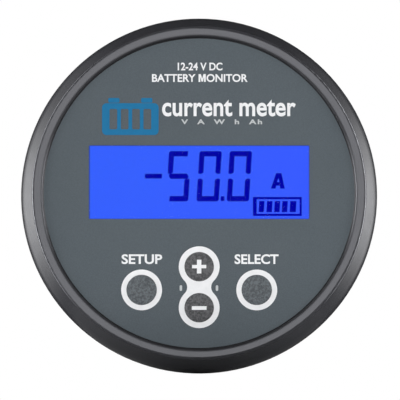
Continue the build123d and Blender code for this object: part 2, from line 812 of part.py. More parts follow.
with BuildPart() as relay_yoke:
    # L frame: floor under the coil and the upright at the low end, with the core through the bobbin
    with BuildSketch(at(13.0)):
        with Locations((relay_x, -2.6)):
            Rectangle(yoke_w, 9.2)
    extrude(amount=yoke_t)
    with BuildSketch(at(17.2)):
        with Locations((relay_x, -6.8)):
            Rectangle(yoke_w, yoke_t)
    extrude(amount=5.0)
    with BuildSketch(Plane.XY.offset(-6.9)):
        with Locations(core_centre):
            Circle(0.9)
    extrude(amount=8.6)
save(relay_yoke.part, "relay_yoke")

with BuildPart() as relay_winding:
    with BuildSketch(Plane.XY.offset(-5.65)):
        with Locations(core_centre):
            Circle(1.95)
            Circle(1.32, mode=Mode.SUBTRACT)
    extrude(amount=6.3)
save(relay_winding.part, "relay_winding")

# Armature: an iron plate facing the core end, with a rolled edge that rocks on the yoke, and a
# blade to the contacts.
with BuildPart() as relay_armature:
    with BuildSketch(at(17.0)):
        with Locations((relay_x, armature_z)):
            Rectangle(armature_w, 0.6)
    extrude(amount=4.4)
    with BuildSketch(Plane.YZ.offset(relay_x - armature_w / 2)):
        with Locations(armature_hinge):
            Circle(0.3)
    extrude(amount=armature_w)
    with BuildSketch(at(contact_rear_y)):
        with Locations((relay_x, 2.72)):
            Rectangle(1.6, 0.18)
    extrude(amount=3.6)
    with BuildSketch(at(18.9)):
        with Locations((relay_x, 2.75)):
            Rectangle(0.9, 0.5)
    extrude(amount=0.8)
save(relay_armature.part, "relay_armature")

with BuildPart() as relay_contacts:
    # fixed contacts on either side of the blade
    with BuildSketch(at(contact_rear_y)):
        with Locations(*along_z(relay_x, (inner_contact_z, outer_contact_z))):
            Rectangle(1.6, strip_t)
    extrude(amount=1.0)
    # contact pins, and the strips that join them to the contacts
    with BuildSketch(at(contact_rear_y)):
        with Locations(*contact_pins):
            Rectangle(relay_pin_w, relay_pin_w)
    extrude(amount=contact_rear_y - 7.9)
    with BuildSketch(at(contact_rear_y)):
        with Locations((relay_x - 1.3, outer_contact_z), (relay_x + 1.3, inner_contact_z)):
            Rectangle(2.6, strip_t)
        with Locations((relay_x + relay_pin_dx, 2.5)):
            Rectangle(relay_pin_w, 1.6)
    extrude(amount=0.6)
    with BuildSketch(at(12.6)):
        with Locations(*coil_pins):
            Rectangle(relay_pin_w, relay_pin_w)
    extrude(amount=12.6 - 7.9)
save(relay_contacts.part, "relay_contacts")

# ================================================================ buzzer and capacitors
buzzer_r, buzzer_h = 4.5, 5.0
buzzer_rear_y = connector_rear_y + buzzer_h
with BuildPart() as buzzer:
    with BuildSketch(at(buzzer_rear_y)):
        with Locations((0, buzzer_z)):
            Circle(buzzer_r)
    extrude(amount=buzzer_h)
    fillet(buzzer.edges().group_by(Axis.Y)[-1], radius=0.4)
    with BuildSketch(at(buzzer_rear_y + 0.1)):
        with Locations((0, buzzer_z)):
            Circle(0.9)
    extrude(amount=1.6, mode=Mode.SUBTRACT)
save(buzzer.part, "buzzer")

# Half section of a can with a crimped groove: (radius, y)
can_section = [
    (0, connector_rear_y), (3.1, connector_rear_y), (3.1, 11.7), (2.85, 12.0), (3.1, 12.3),
    (3.1, 17.8), (2.8, 18.1), (0, 18.1),
]
can_z = -14.5
with BuildPart() as capacitors:
    for x in (-10.5, 10.5):
        with BuildSketch(Plane((x, 0, can_z))):
            with BuildLine():
                Polyline(*can_section, close=True)
            make_face()
        revolve(axis=Axis((x, 0, can_z), (0, 1, 0)))
save(capacitors.part, "capacitors")

# ================================================================ rear cover
cover_t = cover_rear_y - cover_front_y
tongue_w = 6.0
head_sink = 1.1    # depth of the counterbores for the screw heads
# Openings: centre, width, height, corner round
cover_openings = (
    ((0, jack_z), jack_w + 0.5, jack_h + 0.5, 0.6),
    ((serial_x, serial_z), socket_w + 0.8, socket_h + 0.8, 0.5),
    ((0, plug_body_z), plug_w + 0.6, plug_h + 0.6, 0.6),
)
with BuildPart() as rear_cover:
    with BuildSketch(at(cover_rear_y)):
        Circle(25.0)
    extrude(amount=cover_t)
    fillet(rear_cover.edges().group_by(Axis.Y)[-1], radius=0.8)
    # locating spigot inside the barrel
    with BuildSketch(at(cover_front_y)):
        Circle(23.5)
        Circle(22.3, mode=Mode.SUBTRACT)
        with Locations(*cover_screws):
            Circle(3.0, mode=Mode.SUBTRACT)
        with Locations(*boss_relief):
            Circle(2.8, mode=Mode.SUBTRACT)
    extrude(amount=1.6)
    # tongue at the bottom, and its outward lip
    with BuildSketch(at(cover_front_y)):
        with Locations((0, -22.9)):
            Rectangle(tongue_w, 1.2)
    extrude(amount=3.0)
    with BuildSketch(at(20.0)):
        with Locations((0, -23.6)):
            Rectangle(tongue_w, 1.0)
    extrude(amount=0.9)
    # openings for the connectors, sound holes and screw holes
    with BuildSketch(at(cover_rear_y)):
        for centre, width, height, radius in cover_openings:
            with Locations(centre):
                RectangleRounded(width, height, radius)
        with Locations((0, buzzer_z)):
            Circle(0.7)
            with PolarLocations(2.2, 6):
                Circle(0.7)
        with Locations(*cover_screws):
            Circle(1.25)
    extrude(amount=cover_t, mode=Mode.SUBTRACT)
    with BuildSketch(at(cover_rear_y)):
        with Locations(*cover_screws):
            Circle(2.25)
    extrude(amount=head_sink, mode=Mode.SUBTRACT)
    # shallow label panel
    with BuildSketch(at(cover_rear_y)):
        with Locations((-15.0, -1.0)):
            RectangleRounded(9.6, 15.0, 0.8)
    extrude(amount=0.25, mode=Mode.SUBTRACT)
save(rear_cover.part, "rear_cover")

save_screws(
    "rear_cover_screws", cover_screws, seat_y=cover_rear_y - head_sink, length=8.4,
    head_h=1.0, head_round=0.35, cross_cut=0.7,
)

# ================================================================ panel fixing
nut_front_y, nut_rear_y = 4.3, 10.3
nut_t = nut_rear_y - nut_front_y
nut_r, nut_rim_r, nut_rim_t = 28.6, 30.4, 1.4
nut_bore_r = 26.15
washer_rear_y, washer_t = nut_front_y - 0.05, 0.95

with BuildPart() as panel_gasket:
    with BuildSketch(at(0)):
        Circle(groove_r - 0.1)
        Circle(coring_inner_r + 0.1, mode=Mode.SUBTRACT)
    extrude(amount=groove_depth - 0.05)
save(panel_gasket.part, "panel_gasket")

with BuildPart() as clamp_washer:
    with BuildSketch(at(washer_rear_y)):
        Circle(30.2)
        Circle(26.25, mode=Mode.SUBTRACT)
    extrude(amount=washer_t)
    with BuildSketch(at(washer_rear_y)):
        with Locations(*pair(26.0, 0)):
            Rectangle(1.4, 3.4)
    extrude(amount=washer_t)
save(clamp_washer.part, "clamp_washer")

with BuildPart() as ring_nut:
    with BuildSketch(at(nut_rear_y)):
        Circle(nut_r)
    extrude(amount=nut_t)
    with BuildSketch(at(nut_front_y + nut_rim_t)):
        Circle(nut_rim_r)
    extrude(amount=nut_rim_t)
    # grip lugs
    with BuildSketch(at(nut_rear_y)):
        with PolarLocations(28.9, 12):
            Rectangle(2.6, 5.0)
        Circle(nut_rim_r, mode=Mode.INTERSECT)
    extrude(amount=nut_t)
    fillet(ring_nut.edges().group_by(Axis.Y)[-1], radius=0.5)
    with BuildSketch(at(nut_rear_y)):
        Circle(nut_bore_r)
    extrude(amount=nut_t, mode=Mode.SUBTRACT)
    # internal thread, half a pitch out of step with the ridge on the barrel
    with BuildLine():
        nut_helix = Helix(
            pitch=thread_pitch, height=3.9, radius=nut_bore_r,
            center=(0, thread_start + thread_pitch / 2, 0), direction=(0, 1, 0),
        )
    with BuildSketch(thread_plane(nut_helix)):
        with BuildLine():
            Polyline(*nut_thread, close=True)
        make_face()
    sweep(path=nut_helix.edge(), is_frenet=True)
save(ring_nut.part, "ring_nut")
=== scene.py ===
"""Panel-mounted battery current meter with a round front, a lit display and four domed keys.

The front faces -Y, +X is to the right as seen from the front and +Z is up. Artwork is drawn in
mm as (x, z) on its plane and scaled by MM.
"""
import json
import math

import bmesh
import bpy
from mathutils import Matrix, Vector


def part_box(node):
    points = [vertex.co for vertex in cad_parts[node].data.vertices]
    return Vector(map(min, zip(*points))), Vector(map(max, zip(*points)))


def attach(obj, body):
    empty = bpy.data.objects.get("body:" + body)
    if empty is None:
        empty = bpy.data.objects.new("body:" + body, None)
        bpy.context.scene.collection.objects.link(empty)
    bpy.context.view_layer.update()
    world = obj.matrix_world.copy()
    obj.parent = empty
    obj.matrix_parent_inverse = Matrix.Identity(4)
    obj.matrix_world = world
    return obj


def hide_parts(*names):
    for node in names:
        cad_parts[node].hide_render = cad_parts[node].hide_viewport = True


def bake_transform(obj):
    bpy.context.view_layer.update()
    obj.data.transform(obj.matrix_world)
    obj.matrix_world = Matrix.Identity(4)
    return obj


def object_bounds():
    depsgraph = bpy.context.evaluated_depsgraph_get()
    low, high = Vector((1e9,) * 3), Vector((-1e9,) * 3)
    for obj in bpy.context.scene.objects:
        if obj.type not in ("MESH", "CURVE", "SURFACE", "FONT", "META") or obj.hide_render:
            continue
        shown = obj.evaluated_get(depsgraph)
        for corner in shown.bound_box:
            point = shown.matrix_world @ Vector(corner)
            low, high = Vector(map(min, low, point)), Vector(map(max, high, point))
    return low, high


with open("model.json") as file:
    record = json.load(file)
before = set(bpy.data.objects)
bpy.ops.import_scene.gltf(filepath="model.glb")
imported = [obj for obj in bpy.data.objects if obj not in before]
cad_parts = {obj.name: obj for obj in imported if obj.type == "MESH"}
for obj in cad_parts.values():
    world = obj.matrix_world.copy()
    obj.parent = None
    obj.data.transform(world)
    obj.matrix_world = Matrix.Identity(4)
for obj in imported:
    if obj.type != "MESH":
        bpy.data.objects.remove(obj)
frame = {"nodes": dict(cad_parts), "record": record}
cad_lo, cad_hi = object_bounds()
nodes = frame["nodes"]

MM = 0.001
FILM_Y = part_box("front_overlay")[0][1] / MM        # outer face of the front film, mm
LCD_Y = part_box("lcd_front_polariser")[0][1] / MM   # front of the display's polariser, mm
REAR_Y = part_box("rear_cover")[1][1] / MM           # rear face of the cover, mm
PRINT_T = 0.02                                     # thickness of print and display segments, mm

scene = bpy.context.scene
scene.view_settings.view_transform = "Standard"
scene.view_settings.look = "None"
scene.view_settings.exposure = 0.0
scene.view_settings.gamma = 1.0


# ------------------------------------------------------------------ shader node helpers
def srgb(*channels):
    """Linear colour from red, green and blue in 0 to 255."""
    def linear(c):
        c = c / 255.0
        return c / 12.92 if c <= 0.04045 else ((c + 0.055) / 1.055) ** 2.4
    return tuple(linear(c) for c in channels)


def scaled(color, factor):
    return tuple(min(1.0, c * factor) for c in color)


class NodeTree:
    """Builds the node tree of a material or world. Values may be numbers, colours (r, g, b),
    sockets, or nodes, which stand for their first output."""

    def __init__(self, owner):
        owner.use_nodes = True
        self.tree = owner.node_tree
        self.tree.nodes.clear()
        self.coords = None

    def feed(self, socket, value):
        if isinstance(value, bpy.types.Node):
            value = value.outputs[0]
        if isinstance(value, bpy.types.NodeSocket):
            self.tree.links.new(value, socket)
        elif socket.type == "RGBA":
            socket.default_value = (*value, 1.0)
        else:
            socket.default_value = value

    def add(self, kind, *by_place, **by_name):
        """New node. Capitalised names are inputs, with _ for a space; the others are settings."""
        node = self.tree.nodes.new("ShaderNode" + kind)
        for name, value in by_name.items():
            if name[0].isupper():
                self.feed(node.inputs[name.replace("_", " ")], value)
            else:
                setattr(node, name, value)
        for i, value in enumerate(by_place):
            self.feed(node.inputs[i], value)
        return node

    def math(self, operation, *values, clamp=False):
        return self.add("Math", *values, operation=operation, use_clamp=clamp)

    def vector_math(self, operation, *values):
        return self.add("VectorMath", *values, operation=operation).outputs["Value"]

    def remap(self, value, low, high, out_low=0.0, out_high=1.0):
        """Smooth step from out_low at low to out_high at high."""
        return self.add("MapRange", interpolation_type="SMOOTHSTEP", From_Min=low, From_Max=high,
                        To_Min=out_low, To_Max=out_high, Value=value).outputs["Result"]

    def object_coords(self):
        if self.coords is None:
            self.coords = self.add("TexCoord").outputs["Object"]
        return self.coords

    def object_xyz(self):
        split = self.add("SeparateXYZ", self.object_coords())
        return [split.outputs[axis] for axis in "XYZ"]

    def noise(self, scale, detail, rough, coords=None):
        return self.add("TexNoise", Scale=scale, Detail=detail, Roughness=rough,
                        Vector=coords or self.object_coords()).outputs["Fac"]

    def soft_noise(self, scale, detail, rough, out_low=0.0, out_high=1.0):
        """Noise with its middle range spread from out_low to out_high."""
        return self.remap(self.noise(scale, detail, rough), 0.3, 0.7, out_low, out_high)

    def mix(self, factor, a, b):
        """Colour mix; sockets 0, 6 and 7 are the factor and the two colours."""
        node = self.add("Mix", data_type="RGBA")
        for i, value in ((0, factor), (6, a), (7, b)):
            self.feed(node.inputs[i], value)
        return node.outputs[2]

    def mix_shader(self, factor, a, b):
        return self.add("MixShader", factor, a, b)


def new_material(name):
    material = bpy.data.materials.new(name)
    return material, NodeTree(material)


# ------------------------------------------------------------------ kinds of finish
def worn_and_highlit_edges(g, color, strength, edge_color, radius):
    """Patchy edge_color where a bevelled normal leaves the true one. It marks edge wear, and on
    the front film it also paints a highlight along the cut edges.
    """
    bevel = g.add("Bevel", samples=4, Radius=radius)
    normal = g.add("NewGeometry").outputs["Normal"]
    edge = g.remap(g.vector_math("DOT_PRODUCT", bevel, normal), 0.985, 0.80)
    patch = g.remap(g.noise(scale=900.0, detail=4.0, rough=0.6), 0.38, 0.62)
    edge = g.math("MULTIPLY", g.math("MULTIPLY", edge, patch), strength, clamp=True)
    return g.mix(edge, color, edge_color)


def groove_masks(g, dark_radius, shade_end_radius, deep_y, strength):
    """Masks for a round recess about the Y axis: its line of painted shade, and its added
    roughness.
    Both weaken at the far left and right of the circle."""
    depth_fade = 0.0002
    x, y, z = g.object_xyz()
    radius = g.math("SQRT", g.math("ADD", g.math("MULTIPLY", x, x), g.math("MULTIPLY", z, z)))

    def sideways():
        return g.math("DIVIDE", g.math("ABSOLUTE", x), radius)

    def within(outer, inner):
        return g.math("MULTIPLY", g.remap(radius, outer, inner),
                      g.remap(y, deep_y + depth_fade, deep_y))

    # The painted shade fades out towards the far left and right of the circle.
    shade_fade_at_sides = g.remap(sideways(), 0.99, 0.91)
    painted_shade = g.math("MULTIPLY", within(shade_end_radius, dark_radius), shade_fade_at_sides)
    painted_shade = g.math("MULTIPLY", painted_shade, strength, clamp=True)
    dull = g.math("MULTIPLY", within(shade_end_radius + 0.0001, shade_end_radius), 0.40)
    dull = g.math("MULTIPLY", dull, g.remap(sideways(), 1.0, 0.95, 0.25, 1.0))
    return painted_shade, dull


def surface(name, color, rough=0.5, metallic=0.0, spec=0.5, spec_tint=(1.0, 1.0, 1.0), coat=0.0,
            var=0.08, var_scale=180.0, speckle=0.0, rough_var=0.10,
            grain=4500.0, grain_depth=0.000006, grain_strength=0.5, brushed=None, turns=None,
            wear_and_highlight=0.25, wear_and_highlight_color=None, wear_and_highlight_radius=0.00018, groove=None):
    """Procedural finish: colour drift, bump, roughness variation and a line on worn edges, which
    on the front film is partly a painted highlight.
    var, speckle and rough_var are amounts of change. The bump is fine grain, or brushing with
    brushed as its scale per axis, or wire with turns as its wave scale. Lengths are in metres.
    groove holds the arguments of groove_masks, which paint shade into a round recess."""
    material, g = new_material(name)
    shader = g.add("BsdfPrincipled", Metallic=metallic, Specular_IOR_Level=spec,
                   Specular_Tint=spec_tint, Coat_Weight=coat, Coat_Roughness=0.12)
    drift = g.soft_noise(var_scale, detail=4.0, rough=0.6)
    tone = g.mix(drift, scaled(color, 1.0 - var), scaled(color, 1.0 + var))
    if speckle:
        spots = g.remap(g.noise(grain * 0.8, detail=2.0, rough=0.7), 0.35, 0.65)
        spots = g.mix(spots, scaled(color, 1.0 - speckle), scaled(color, 1.0 + speckle))
        tone = g.mix(0.5, tone, spots)
    if wear_and_highlight:
        edge_color = wear_and_highlight_color or tuple(min(1.0, c * 1.9 + 0.02) for c in color)
        tone = worn_and_highlit_edges(g, tone, wear_and_highlight, edge_color, wear_and_highlight_radius)
    dull = 0.0
    if groove:
        painted_shade, dull = groove_masks(g, **groove)
        # Painted shade: the recess is darkened to near black and its reflection dimmed.
        tone = g.mix(painted_shade, tone, (0.004, 0.004, 0.005))
        unshaded = g.math("SUBTRACT", 1.0, painted_shade)
        g.feed(shader.inputs["Specular IOR Level"], g.math("MULTIPLY", unshaded, spec))
    smear = g.soft_noise(var_scale * 2.3, detail=3.0, rough=0.6,
                         out_low=rough - rough_var / 2, out_high=rough + rough_var / 2)
    g.feed(shader.inputs["Base Color"], tone)
    g.feed(shader.inputs["Roughness"], g.math("ADD", smear, dull, clamp=True))

    if brushed:
        stretch = g.add("Mapping", Vector=g.object_coords())
        stretch.inputs["Scale"].default_value = brushed
        height = g.noise(scale=1.0, detail=4.0, rough=0.6, coords=stretch)
    elif turns:
        height = g.add("TexWave", bands_direction="Z", Scale=turns,
                       Vector=g.object_coords()).outputs["Fac"]
    else:
        height = g.noise(grain, detail=3.0, rough=0.6)
    bump = g.add("Bump", Distance=grain_depth, Strength=grain_strength, Height=height)
    g.feed(shader.inputs["Normal"], bump)
    g.add("OutputMaterial", Surface=shader)
    return material


def clear(name, tint, gloss, rough, body=0.0):
    """Thin clear sheet with a faint reflection that grows at grazing angles.
    body is the share of the tint that is solid."""
    material, g = new_material(name)
    base = g.add("BsdfTransparent", Color=tint)
    if body:
        base = g.mix_shader(body, base, g.add("BsdfDiffuse", Color=tint))
    shine = g.add("BsdfGlossy", Roughness=rough)
    smudge = g.soft_noise(scale=260.0, detail=4.0, rough=0.6, out_low=rough, out_high=rough + 0.08)
    g.feed(shine.inputs["Roughness"], smudge)
    ripple = g.noise(scale=1500.0, detail=2.0, rough=0.5)
    g.feed(shine.inputs["Normal"], g.add("Bump", Distance=0.000002, Strength=0.2, Height=ripple))
    reflected = g.math("MULTIPLY", g.add("Fresnel", IOR=1.45), gloss, clamp=True)
    g.add("OutputMaterial", Surface=g.mix_shader(reflected, base, shine))
    return material


def emit(g, base_color, glow):
    """Matt shader that shows mostly by its own light."""
    shader = g.add("BsdfPrincipled", Base_Color=base_color, Roughness=0.6,
                   Specular_IOR_Level=0.0, Emission_Color=glow, Emission_Strength=1.0)
    g.add("OutputMaterial", Surface=shader)


def backlit_film():
    """Even blue glow that drifts across the width, with painted shade where it fades at the
    window's edges.
    """
    lens_lo, lens_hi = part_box("display_window")
    left, left_fade = lens_lo[0] + 0.00110, 0.00036
    right, right_fade = lens_hi[0] - 0.00110, 0.00024
    bottom, bottom_fade = lens_lo[2] + 0.00124, 0.00022
    top, top_fade = lens_hi[2] - 0.00088, 0.00022
    drift_half_width = 0.02
    left_color, right_color = srgb(53, 97, 253), srgb(55, 91, 255)

    material, g = new_material("backlit_display")
    x, _, z = g.object_xyz()
    drift = g.math("ADD", g.remap(x, -drift_half_width, drift_half_width, 0.0, 0.7),
                   g.soft_noise(scale=70.0, detail=2.0, rough=0.5, out_high=0.3))
    glow = g.mix(drift, left_color, right_color)
    fine_mesh = g.soft_noise(scale=9000.0, detail=1.0, rough=0.5, out_high=0.05)
    glow = g.mix(fine_mesh, glow, (0.0, 0.0, 0.3))
    # Painted shade: the glow dims to a dark blue near the window's edges, widest at the left, as
    # if the window's edges shaded the display.
    across = g.math("MULTIPLY", g.remap(x, left, left + left_fade),
                    g.remap(x, right, right - right_fade))
    upright = g.math("MULTIPLY", g.remap(z, bottom, bottom + bottom_fade),
                     g.remap(z, top, top - top_fade))
    glow = g.mix(g.math("MULTIPLY", across, upright), (0.035, 0.060, 0.21), glow)
    emit(g, (0.002, 0.004, 0.02), glow)
    return material


def segment_ink():
    """Dark blue of the display's segments."""
    material, g = new_material("display_segment")
    cloud = g.soft_noise(scale=1500.0, detail=2.0, rough=0.5)
    emit(g, (0.0, 0.0, 0.004), g.mix(cloud, srgb(0, 0, 158), srgb(2, 4, 170)))
    return material


def ink(name, color, painted_glow=0.0):
    """Screen-printed ink, slightly uneven. The last argument is a painted glow: emission in the
    ink's own colour that brightens it.
    """
    material = surface(name, color, rough=0.55, spec=0.2, var=0.03, var_scale=900.0, grain=6000.0,
                       grain_depth=0.000003, grain_strength=0.3, wear_and_highlight=0.0, rough_var=0.06)
    shader = material.node_tree.nodes["Principled BSDF"]
    # Painted glow: the ink emits its own colour at the given strength.
    shader.inputs["Emission Color"].default_value = (*color, 1.0)
    shader.inputs["Emission Strength"].default_value = painted_glow
    return material


# ------------------------------------------------------------------ materials by slot
# Painted shade in the recess round the front film, with added roughness.
HOUSING_GROOVE = dict(dark_radius=0.02782, shade_end_radius=0.02806, deep_y=-0.0058, strength=0.62)
KEY_GRAIN = dict(rough=0.58, spec=0.22, var=0.04, grain=3400.0, grain_depth=0.000010,
                 grain_strength=0.8, wear_and_highlight=0.0)

MATERIALS = {
    # mouldings and front film
    "housing_plastic": surface(
        "moulded_housing", (0.035, 0.0355, 0.040), rough=0.24, spec=0.70, rough_var=0.05,
        var=0.05, grain=5200.0, grain_depth=0.000006, grain_strength=0.55, wear_and_highlight=0.35,
        wear_and_highlight_radius=0.00022, groove=HOUSING_GROOVE, spec_tint=(0.92, 0.935, 1.0)),
    "nut_plastic": surface(
        "moulded_nut", (0.030, 0.030, 0.032), rough=0.52, var=0.08, grain=3800.0,
        grain_depth=0.00001, wear_and_highlight=0.5),
    "washer_plastic": surface(
        "moulded_washer", (0.022, 0.022, 0.024), rough=0.45, var=0.06, wear_and_highlight=0.3),
    "gasket_rubber": surface(
        "gasket_rubber", (0.012, 0.012, 0.013), rough=0.85, spec=0.25, var=0.15, grain=2600.0,
        grain_depth=0.00002, wear_and_highlight=0.0),
    # The film's lighter edges are partly wear and partly a painted highlight of its cut edges.
    "film": surface(
        "front_film", (0.080, 0.098, 0.112), rough=0.62, spec=0.22, var=0.035, var_scale=60.0,
        grain=7000.0, grain_depth=0.000004, grain_strength=0.4, wear_and_highlight=0.55, wear_and_highlight_radius=0.00020,
        wear_and_highlight_color=(0.125, 0.148, 0.155), speckle=0.16),
    "key_film_grey": surface("key_film_grey", (0.094, 0.106, 0.116), speckle=0.62, **KEY_GRAIN),
    "key_film": surface("key_film_dark", (0.084, 0.085, 0.090), speckle=0.75, **KEY_GRAIN),
    "window": clear("display_window_clear", (0.99, 0.99, 1.0), gloss=0.025, rough=0.06),
    "plunger_plastic": surface("plunger_grey", (0.32, 0.32, 0.33), rough=0.45, var=0.05),
    "black_plastic": surface(
        "black_moulding", (0.018, 0.018, 0.02), rough=0.42, var=0.08, grain=3600.0,
        grain_depth=0.000008, wear_and_highlight=0.45),
    "tin": surface(
        "tinned_metal", (0.62, 0.62, 0.61), rough=0.32, metallic=1.0, var=0.08, var_scale=500.0,
        brushed=(400.0, 9000.0, 9000.0), grain_depth=0.000004, wear_and_highlight=0.3),
    # display
    "polariser": backlit_film(),
    "lcd_glass": clear("display_glass", (0.62, 0.72, 0.80), gloss=0.8, rough=0.04, body=0.25),
    "white_plastic": surface(
        "white_moulding", (0.70, 0.70, 0.67), rough=0.5, var=0.04, wear_and_highlight=0.2,
        wear_and_highlight_color=(0.5, 0.5, 0.48)),
    "clear_plastic": clear(
        "light_guide_clear", (0.80, 0.86, 0.98), gloss=0.8, rough=0.08, body=0.4),
    "led": surface("led_package", (0.75, 0.68, 0.30), rough=0.35, var=0.08, coat=0.4),
    # board, metals and components
    "board": surface(
        "solder_mask", (0.010, 0.085, 0.040), rough=0.32, var=0.14, var_scale=420.0,
        grain=2600.0, coat=0.3, wear_and_highlight=0.4, wear_and_highlight_color=(0.35, 0.28, 0.14)),
    "gold": surface(
        "gold_plate", (0.80, 0.56, 0.22), rough=0.25, metallic=1.0, var=0.06,
        brushed=(6000.0, 500.0, 6000.0), grain_depth=0.000003, wear_and_highlight=0.2),
    "brass": surface(
        "brass_plain", (0.66, 0.46, 0.20), rough=0.36, metallic=1.0, var=0.12, var_scale=500.0,
        brushed=(6000.0, 700.0, 6000.0), grain_depth=0.000005, wear_and_highlight=0.4),
    "zinc": surface(
        "zinc_plate", (0.56, 0.57, 0.58), rough=0.30, metallic=1.0, var=0.10, var_scale=700.0,
        grain=5200.0, grain_depth=0.000006, wear_and_highlight=0.4),
    "ceramic": surface(
        "chip_ceramic", (0.20, 0.13, 0.08), rough=0.5, var=0.14, var_scale=700.0),
    "green_plastic": surface(
        "green_moulding", (0.012, 0.165, 0.060), rough=0.42, var=0.06, grain=3600.0,
        grain_depth=0.000008, wear_and_highlight=0.35),
    "relay_case": surface("relay_case", (0.03, 0.035, 0.06), rough=0.28, var=0.06, wear_and_highlight=0.3),
    "iron": surface(
        "nickel_iron", (0.45, 0.45, 0.44), rough=0.36, metallic=1.0, var=0.12,
        brushed=(700.0, 6000.0, 6000.0), grain_depth=0.000005),
    "can": surface(
        "can_aluminium", (0.72, 0.72, 0.73), rough=0.28, metallic=1.0, var=0.05,
        brushed=(500.0, 9000.0, 500.0), grain_depth=0.000003),
    "copper": surface(
        "copper_winding", (0.50, 0.16, 0.05), rough=0.3, metallic=0.85, var=0.1, wear_and_highlight=0.0,
        turns=2600.0, grain_depth=0.00004),
}
# The white legends get a faint painted glow.
INK_WHITE = ink("legend_white", (0.78, 0.785, 0.80), painted_glow=0.03)
INK_SOFT = ink("legend_soft_grey", (0.50, 0.52, 0.53))
INK_TEAL = ink("legend_teal", srgb(6, 106, 152))
INK_REAR = ink("rear_legend", (0.62, 0.62, 0.60))
LABEL = surface("rear_label_film", (0.42, 0.43, 0.44), rough=0.38, metallic=0.35, var=0.05,
                brushed=(9000.0, 9000.0, 500.0), grain_depth=0.000002, wear_and_highlight=0.0)
SEGMENT = segment_ink()

slots = {part["node"]: part["material_slot"] for part in frame["record"]["subparts"]}
for name, obj in nodes.items():
    obj.data.materials.clear()
    obj.data.materials.append(MATERIALS[slots.get(name, "black_plastic")])


# ------------------------------------------------------------------ outlines, mm
def circle(cx, cz, radius, count=96, start=0.0, end=360.0):
    """Points of a circle, or of an arc from start to end in degrees with both ends."""
    full = abs(end - start) >= 360.0
    angles = [math.radians(start + (end - start) * i / count)
              for i in range(count if full else count + 1)]
    return [(cx + radius * math.cos(a), cz + radius * math.sin(a)) for a in angles]


def rounded(cx, cz, width, height, radius):
    """Rectangle with round corners."""
    steps = 6
    points = []
    for side_x, side_z, start in ((1, 1, 0), (-1, 1, 90), (-1, -1, 180), (1, -1, 270)):
        corner_x = cx + side_x * (width / 2 - radius)
        corner_z = cz + side_z * (height / 2 - radius)
        points += circle(corner_x, corner_z, radius, steps, start, start + 90)
    return points


# ------------------------------------------------------------------ solids
def link_object(name, data):
    obj = bpy.data.objects.new(name, data)
    scene.collection.objects.link(obj)
    return obj


def evaluated_mesh(obj):
    depsgraph = bpy.context.evaluated_depsgraph_get()
    return bpy.data.meshes.new_from_object(obj.evaluated_get(depsgraph), depsgraph=depsgraph)


def placed_piece(name, mesh, weld, material, y_outer, thick, body, rear):
    """Welds flat artwork, stands it up with its outer face at y_outer and hands it to body.
    weld is the merging distance. Rear artwork is drawn as it reads from behind."""
    bm = bmesh.new()
    bm.from_mesh(mesh)
    bmesh.ops.remove_doubles(bm, verts=bm.verts, dist=weld)
    bmesh.ops.dissolve_degenerate(bm, edges=bm.edges, dist=1e-5)
    bmesh.ops.recalc_face_normals(bm, faces=bm.faces)
    bm.to_mesh(mesh)
    bm.free()

    turn, inward = Matrix.Rotation(math.radians(90), 4, "X"), 1
    if rear:
        turn, inward = Matrix.Rotation(math.pi, 4, "Z") @ turn, -1
    mesh.transform(turn)
    mesh.transform(Matrix.Translation((0, y_outer + inward * thick / 2, 0)))
    mesh.transform(Matrix.Scale(MM, 4))
    mesh.materials.clear()
    mesh.materials.append(material)
    mesh.name = name
    piece = link_object(name, mesh)
    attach(piece, body)
    return piece


def artwork(name, loops, material, y_outer, thick=PRINT_T, body="housing", rear=False):
    """Thin closed solid from outline loops. Inner loops are holes."""
    curve = bpy.data.curves.new(name, "CURVE")
    curve.dimensions = "2D"
    curve.fill_mode = "BOTH"
    curve.extrude = thick / 2
    for loop in loops:
        spline = curve.splines.new("POLY")
        spline.points.add(len(loop) - 1)
        for point, (x, z) in zip(spline.points, loop):
            point.co = (x, z, 0.0, 1.0)
        spline.use_cyclic_u = True
    obj = link_object(name + "_tmp", curve)
    mesh = evaluated_mesh(obj)
    bpy.data.objects.remove(obj)
    bpy.data.curves.remove(curve)
    placed_piece(name, mesh, 1e-4, material, y_outer, thick, body, rear)


def remove_letter(mesh, text, index, mesh_of):
    """Takes one letter's faces out of a text mesh and returns the letter's x range."""
    margin = 0.02
    up_to, alone = mesh_of(text[:index + 1]), mesh_of(text[index])
    alone_x = [v.co.x for v in alone.vertices]
    right = max(v.co.x for v in up_to.vertices)
    left = right - (max(alone_x) - min(alone_x))
    for extra in (up_to, alone):
        bpy.data.meshes.remove(extra)
    bm = bmesh.new()
    bm.from_mesh(mesh)
    inside = [f for f in bm.faces if left - margin < f.calc_center_median().x < right + margin]
    bmesh.ops.delete(bm, geom=inside, context="FACES")
    bm.to_mesh(mesh)
    bm.free()
    return left, right


